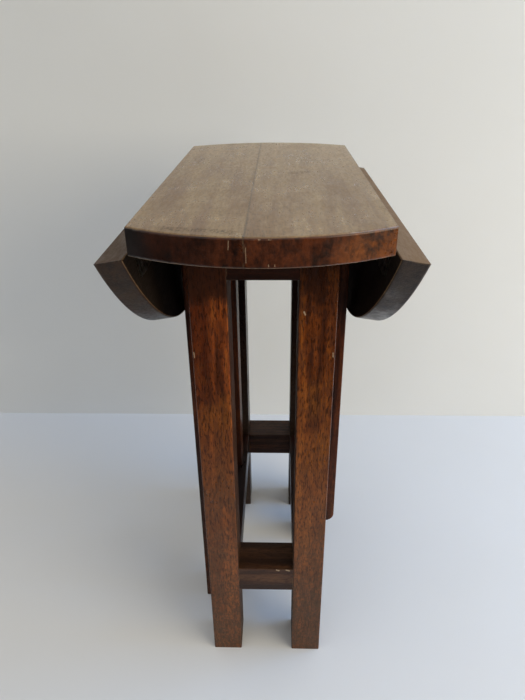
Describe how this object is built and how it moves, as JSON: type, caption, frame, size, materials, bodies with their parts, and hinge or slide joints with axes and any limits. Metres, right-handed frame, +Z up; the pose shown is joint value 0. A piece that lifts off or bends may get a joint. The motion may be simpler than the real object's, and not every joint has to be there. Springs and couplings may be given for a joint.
{
  "type": "drop leaf table",
  "caption": "Small gateleg table with a narrow board bowed at its ends, two D-shaped drop leaves on hinges, a mortised square-leg frame and a swinging gate under each leaf.",
  "frame": {"origin": "on the floor under the middle of the table", "axes": "+Z up, +Y along the board, +X across the two leaves"},
  "size_m": [0.2808, 0.483, 0.6],
  "materials": {
    "top_wood": "dull varnish, worn and marked on top, darker on the rims",
    "leg_wood": "satin varnish, dusty and faded towards the floor",
    "rail_wood": "dark satin varnish",
    "dowel_wood": "bare hardwood",
    "hinge_steel": "dull, browned with age",
    "screw_steel": "dull, browned with age"
  },
  "bodies": {
    "frame": {"board_left": "top_wood", "board_right": "top_wood", "end_rail_far": "rail_wood", "end_rail_near": "rail_wood", "end_stretcher_far": "rail_wood", "end_stretcher_near": "rail_wood", "hinge_left_far_flap_fixed": "hinge_steel", "hinge_left_far_pin": "hinge_steel", "hinge_left_far_screws_fixed": "screw_steel", "hinge_left_near_flap_fixed": "hinge_steel", "hinge_left_near_pin": "hinge_steel", "hinge_left_near_screws_fixed": "screw_steel", "hinge_right_far_flap_fixed": "hinge_steel", "hinge_right_far_pin": "hinge_steel", "hinge_right_far_screws_fixed": "screw_steel", "hinge_right_near_flap_fixed": "hinge_steel", "hinge_right_near_pin": "hinge_steel", "hinge_right_near_screws_fixed": "screw_steel", "leg_left_far": "leg_wood", "leg_left_near": "leg_wood", "leg_right_far": "leg_wood", "leg_right_near": "leg_wood", "side_rail_left": "rail_wood", "side_rail_right": "rail_wood", "side_stretcher_left": "rail_wood", "side_stretcher_right": "rail_wood", "top_screw_left_far": "screw_steel", "top_screw_left_near": "screw_steel", "top_screw_right_far": "screw_steel", "top_screw_right_near": "screw_steel"},
    "leaf_left": {"hinge_left_far_flap_moving": "hinge_steel", "hinge_left_far_screws_moving": "screw_steel", "hinge_left_near_flap_moving": "hinge_steel", "hinge_left_near_screws_moving": "screw_steel", "leaf_left": "top_wood"},
    "leaf_right": {"hinge_right_far_flap_moving": "hinge_steel", "hinge_right_far_screws_moving": "screw_steel", "hinge_right_near_flap_moving": "hinge_steel", "hinge_right_near_screws_moving": "screw_steel", "leaf_right": "top_wood"},
    "gate_left": {"gate_left_leg": "leg_wood", "gate_left_pivot_low": "dowel_wood", "gate_left_pivot_top": "dowel_wood", "gate_left_post": "leg_wood", "gate_left_rail_low": "rail_wood", "gate_left_rail_top": "rail_wood"},
    "gate_right": {"gate_right_leg": "leg_wood", "gate_right_pivot_low": "dowel_wood", "gate_right_pivot_top": "dowel_wood", "gate_right_post": "leg_wood", "gate_right_rail_low": "rail_wood", "gate_right_rail_top": "rail_wood"}
  },
  "joints": [
    {"name": "leaf_left_hinge", "type": "hinge", "parent": "frame", "child": "leaf_left", "pos_m": [-0.112, 0, 0.5713], "axis": [0, 1, 0], "range_deg": [0, 99.28]},
    {"name": "leaf_right_hinge", "type": "hinge", "parent": "frame", "child": "leaf_right", "pos_m": [0.112, 0, 0.5713], "axis": [0, -1, 0], "range_deg": [0, 99.28]},
    {"name": "gate_left_pivot", "type": "hinge", "parent": "frame", "child": "gate_left", "pos_m": [-0.0485, 0.05725, 0.3], "axis": [0, 0, -1], "range_deg": [0, 2.5]},
    {"name": "gate_right_pivot", "type": "hinge", "parent": "frame", "child": "gate_right", "pos_m": [0.0485, -0.05725, 0.3], "axis": [0, 0, -1], "range_deg": [0, 2.5]}
  ]
}
